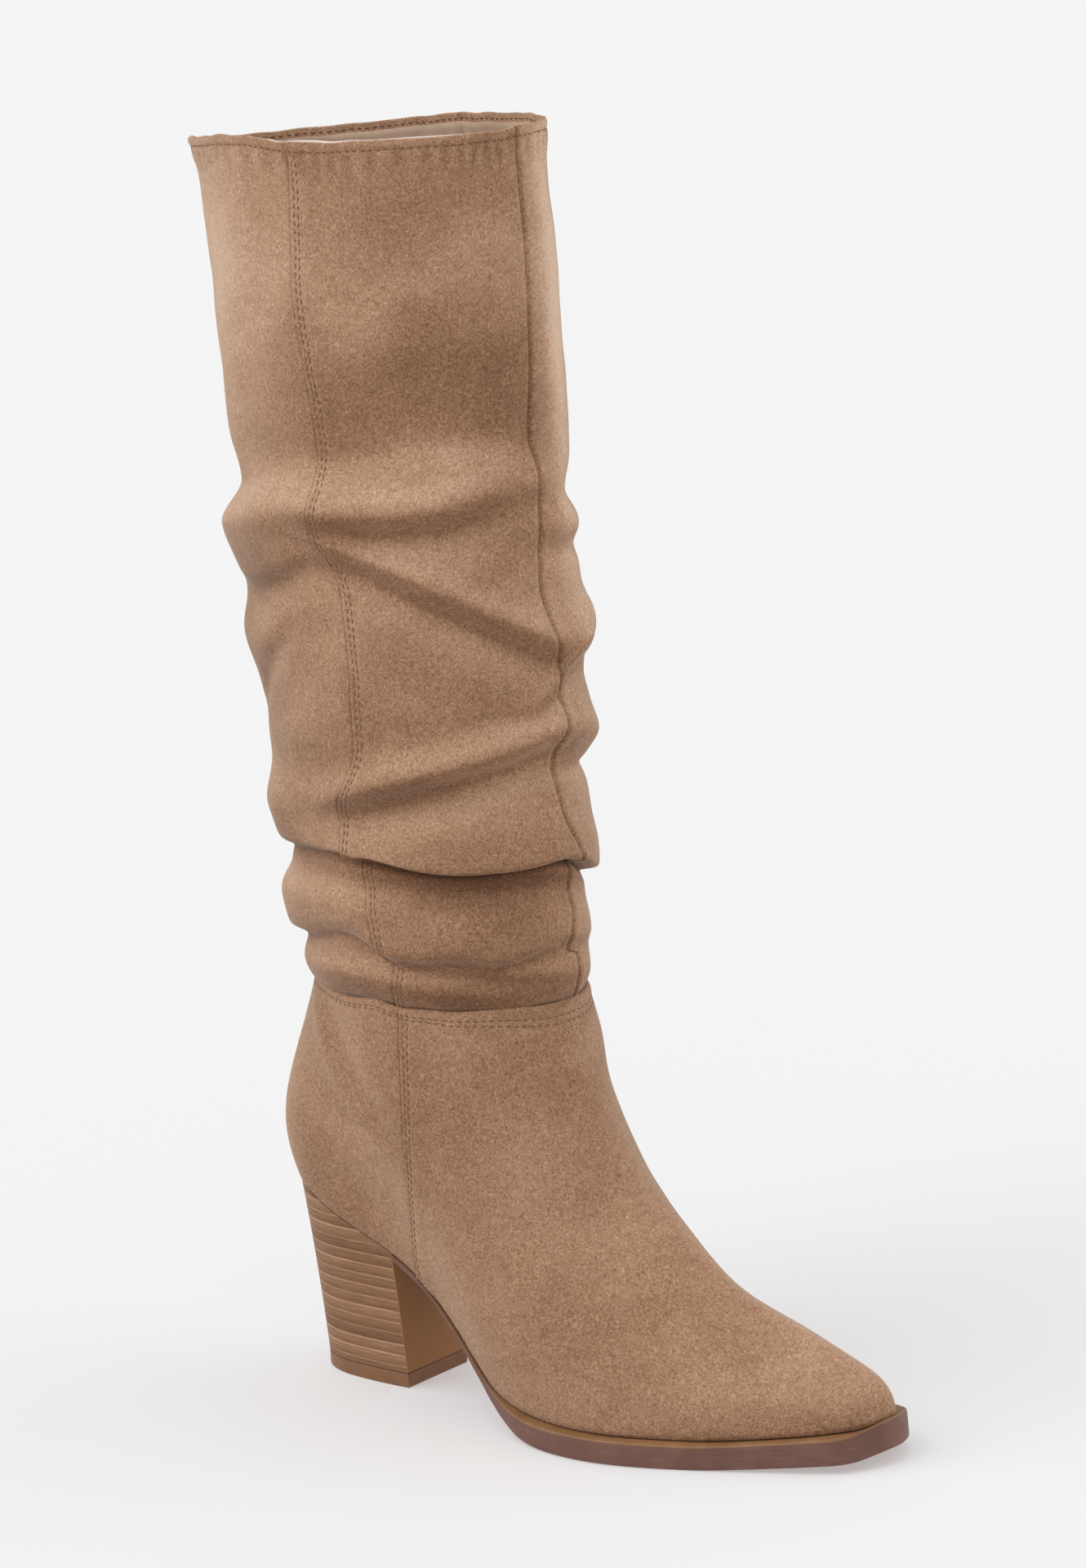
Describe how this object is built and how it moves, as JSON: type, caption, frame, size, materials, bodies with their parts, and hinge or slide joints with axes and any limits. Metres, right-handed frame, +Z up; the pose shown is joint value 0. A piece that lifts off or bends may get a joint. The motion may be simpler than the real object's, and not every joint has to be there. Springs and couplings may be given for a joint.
{
  "type": "slouch boot",
  "caption": "Pull-on slouch boot for the right foot: wide folded suede shaft, pointed closed foot part, block heel with stacked layers, thin outsole with a flat ledge.",
  "frame": {"origin": "middle of the heel lift's flat resting face, on the floor", "axes": "X along the heel's centre line towards the toe, Y towards the inner (big toe) side, Z up"},
  "size_m": [0.2643, 0.0971, 0.4578],
  "materials": {
    "suede": "soft napped suede, taupe, brushed unevenly",
    "insole_lining": "matt woven lining, light beige",
    "sole_rubber": "smooth moulded sole, brown, satin",
    "stacked_heel": "thin stacked layers, streaked brown, satin",
    "heel_lift": "caramel brown wearing piece, satin"
  },
  "bodies": {
    "root": {"upper": "suede", "shaft": "suede", "insole": "insole_lining", "outsole": "sole_rubber", "heel_block": "stacked_heel", "heel_lift": "heel_lift"}
  },
  "joints": []
}
